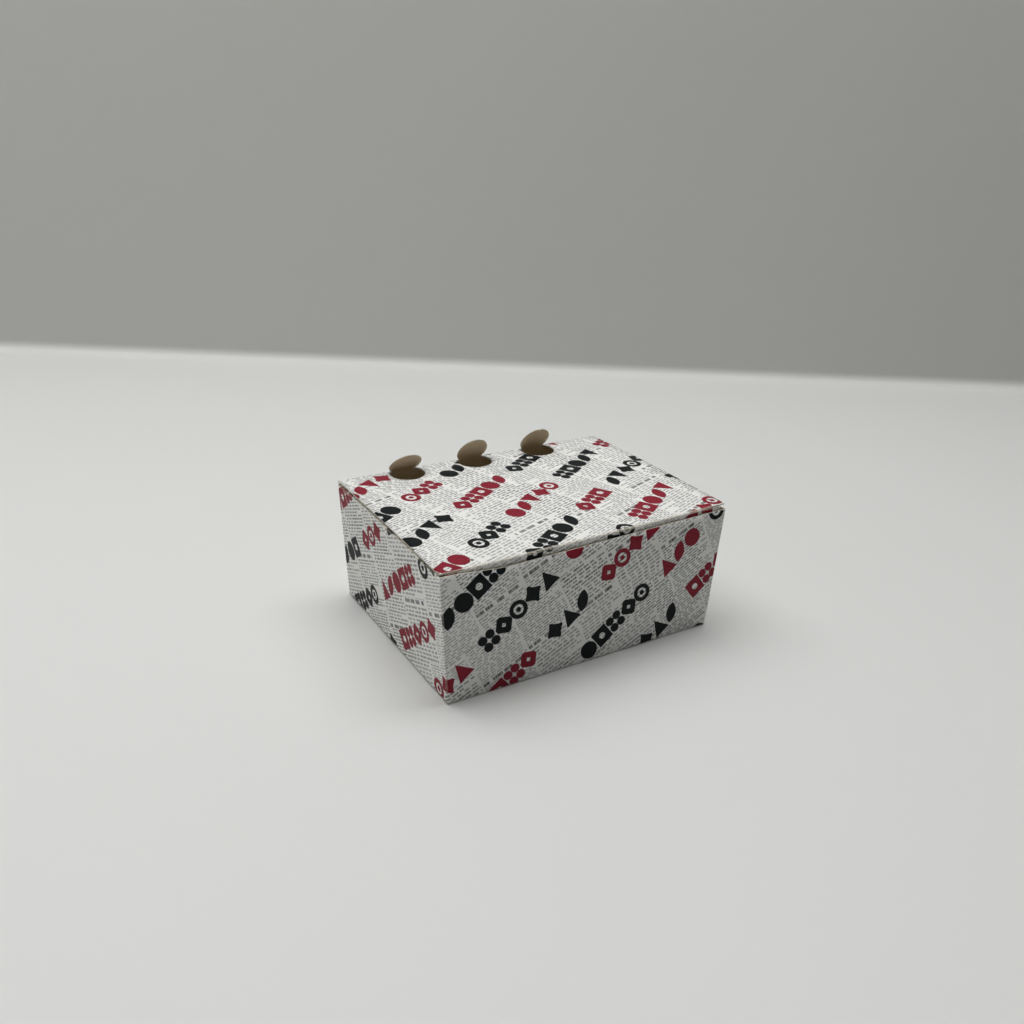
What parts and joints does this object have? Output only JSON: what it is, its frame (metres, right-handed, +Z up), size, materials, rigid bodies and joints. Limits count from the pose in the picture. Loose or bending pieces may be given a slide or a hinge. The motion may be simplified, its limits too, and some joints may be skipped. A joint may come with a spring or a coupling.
{
  "type": "takeaway box",
  "caption": "Folding-carton takeaway box with a hinged tuck-top lid, round steam vents along the back fold and walls that lean out.",
  "frame": {"origin": "middle of the base, on the surface it stands on", "axes": "+X along the front wall, to the right as seen from the front; +Y from the front wall to the back wall, where the lid is hinged; +Z up"},
  "size_m": [0.1588, 0.114, 0.0794],
  "materials": {
    "carton_board": "printed matt board, plain inside",
    "lid_board": "printed matt board, plain inside"
  },
  "bodies": {
    "carton": {"carton_body": "carton_board"},
    "lid": {"lid": "lid_board"}
  },
  "joints": [
    {"name": "lid_hinge", "type": "hinge", "parent": "carton", "child": "lid", "pos_m": [0, 0.0567, 0.0663], "axis": [-1, 0, 0], "range_deg": [0, 180]}
  ]
}
